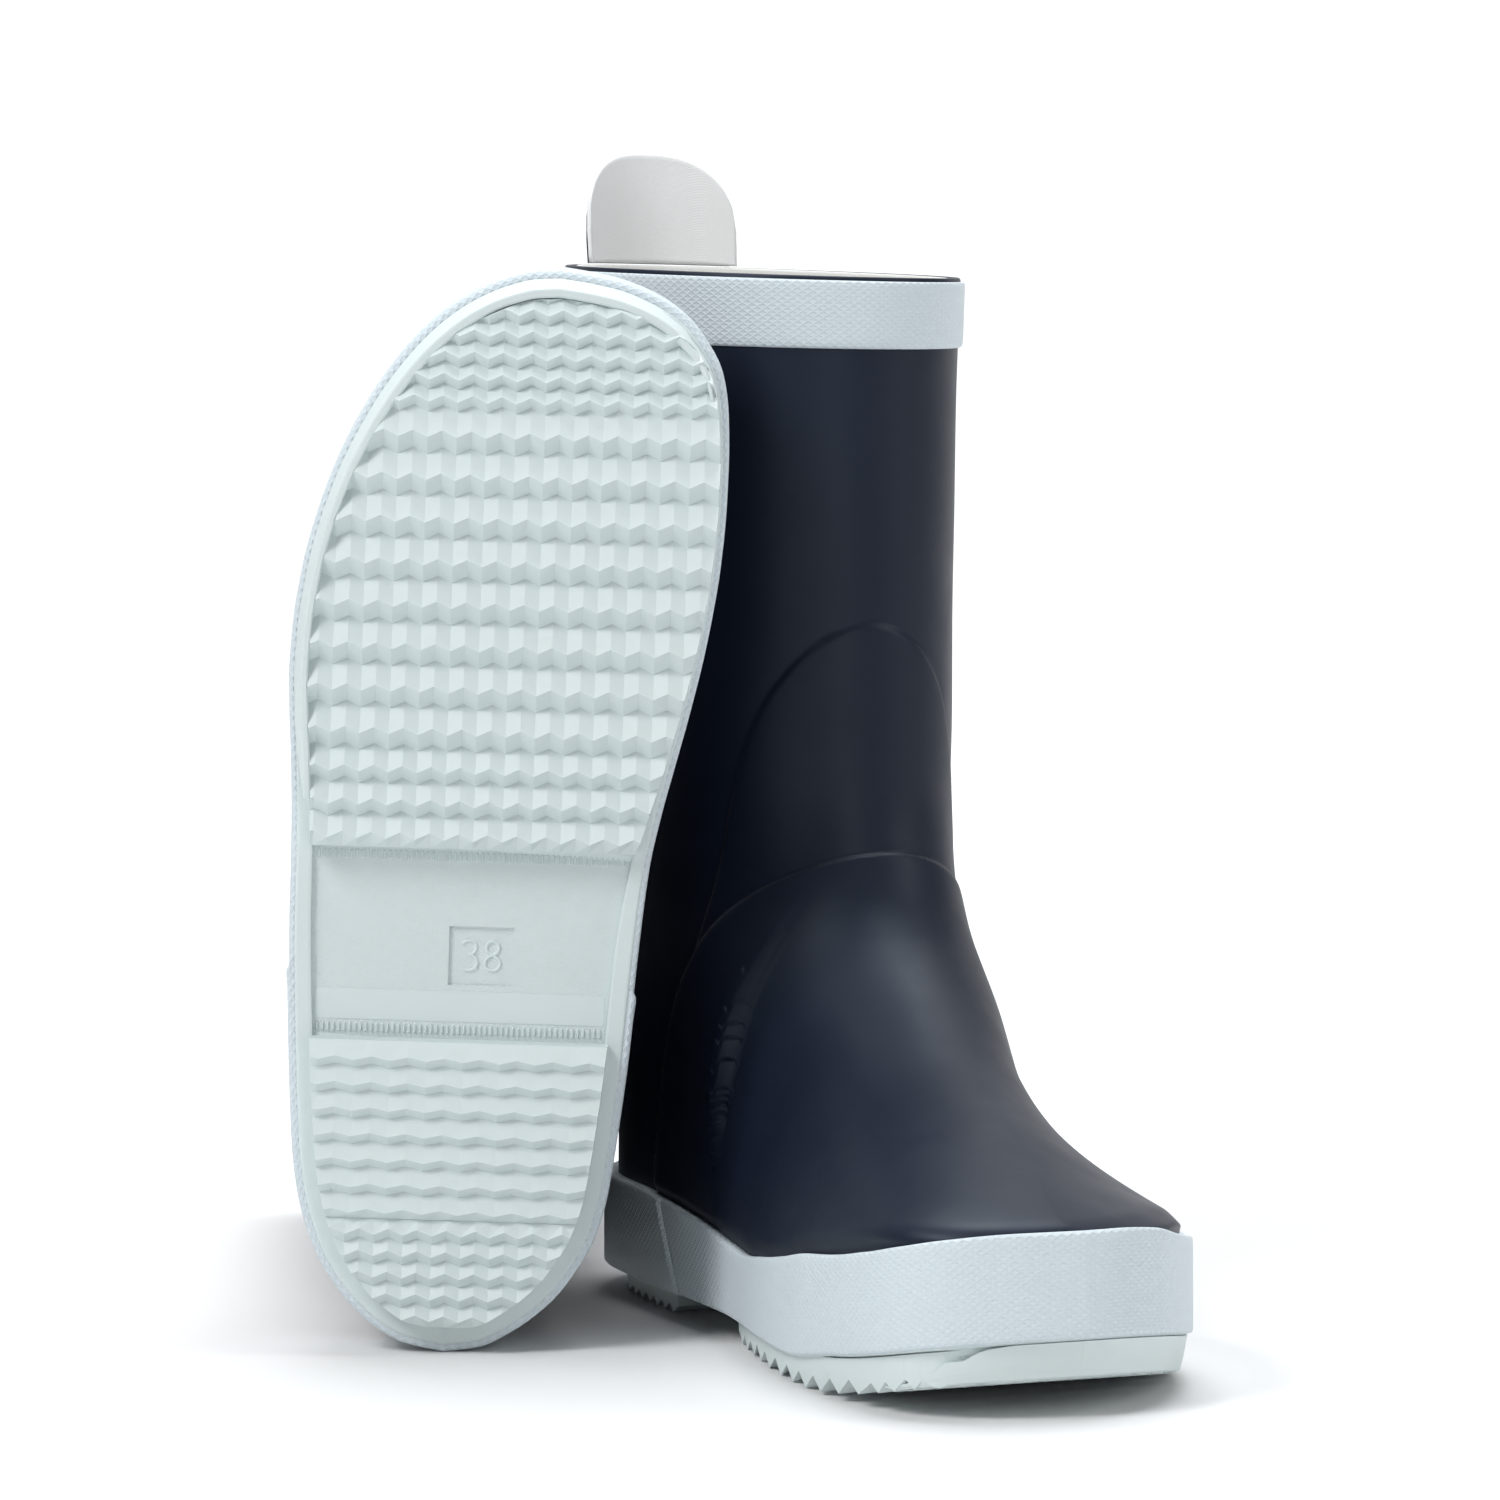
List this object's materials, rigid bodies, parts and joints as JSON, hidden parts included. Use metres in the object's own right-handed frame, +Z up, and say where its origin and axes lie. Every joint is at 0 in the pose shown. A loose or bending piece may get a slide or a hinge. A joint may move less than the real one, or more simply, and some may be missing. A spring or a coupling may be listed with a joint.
{
  "type": "pair of deck boots",
  "caption": "Calf-height natural rubber deck boots with pale trim, faceted tread, back pull tab, cloth lining and lift-out footbed; one boot stands and its mate lies on its back.",
  "frame": {"origin": "Middle of the pair's bounding box in plan, at the ground the boots rest on.", "axes": "Z up. X is to the standing boot's side, from the lying boot towards it; +Y runs along the lying boot's shaft, from its sole to its rim; the standing boot's toe points mostly along -Y and 22.5 degrees towards +X."},
  "size_m": [0.235, 0.3994, 0.2971],
  "materials": {
    "navy_rubber": "satin",
    "trim_rubber": "matt",
    "sole_rubber": "matt",
    "lining_cloth": "woven",
    "tab_cloth": "woven",
    "footbed_foam": "felted",
    "insole_board": "matt",
    "filler_sheet": "matt",
    "stiffener": "matt"
  },
  "bodies": {
    "left_boot": {"left_outsole": "sole_rubber", "left_foxing_band": "trim_rubber", "left_heel_foxing_strip": "trim_rubber", "left_upper_shell": "navy_rubber", "left_vamp_overlay": "navy_rubber", "left_shin_overlay": "navy_rubber", "left_top_band": "trim_rubber", "left_lining": "lining_cloth", "left_toe_puff": "stiffener", "left_heel_counter": "stiffener", "left_sole_filler": "filler_sheet", "left_insole_board": "insole_board"},
    "left_tab": {"left_pull_tab": "navy_rubber", "left_pull_tab_facing": "tab_cloth"},
    "left_footbed_body": {"left_footbed": "footbed_foam"},
    "right_boot": {"right_outsole": "sole_rubber", "right_foxing_band": "trim_rubber", "right_heel_foxing_strip": "trim_rubber", "right_upper_shell": "navy_rubber", "right_vamp_overlay": "navy_rubber", "right_shin_overlay": "navy_rubber", "right_top_band": "trim_rubber", "right_lining": "lining_cloth", "right_toe_puff": "stiffener", "right_heel_counter": "stiffener", "right_sole_filler": "filler_sheet", "right_insole_board": "insole_board"},
    "right_tab": {"right_pull_tab": "navy_rubber", "right_pull_tab_facing": "tab_cloth"},
    "right_footbed_body": {"right_footbed": "footbed_foam"}
  },
  "joints": [
    {"name": "left_tab_flex", "type": "hinge", "parent": "left_boot", "child": "left_tab", "pos_m": [-0.01776, 0.06312, 0.26785], "axis": [-0.8699, -0.4922, 0.0317], "range_deg": [0, 55], "stiffness_Nm_per_rad": 0.05},
    {"name": "left_footbed_lift", "type": "hinge", "parent": "left_boot", "child": "left_footbed_body", "pos_m": [0.08607, -0.18643, 0.025], "axis": [0.9239, 0.3827, 0], "range_deg": [0, 3]},
    {"name": "right_tab_flex", "type": "hinge", "parent": "right_boot", "child": "right_tab", "pos_m": [-0.0667, 0.17042, 0.00159], "axis": [-0.998, -0.0526, -0.0361], "range_deg": [0, 55], "stiffness_Nm_per_rad": 0.05},
    {"name": "right_footbed_lift", "type": "hinge", "parent": "right_boot", "child": "right_footbed_body", "pos_m": [-0.03784, -0.08297, 0.26042], "axis": [0.9959, 0.0261, -0.0872], "range_deg": [0, 3]},
    {"name": "right_boot_slide", "type": "slide", "parent": "left_boot", "child": "right_boot", "axis": [-1, 0, 0], "range_m": [0, 0.12]}
  ]
}
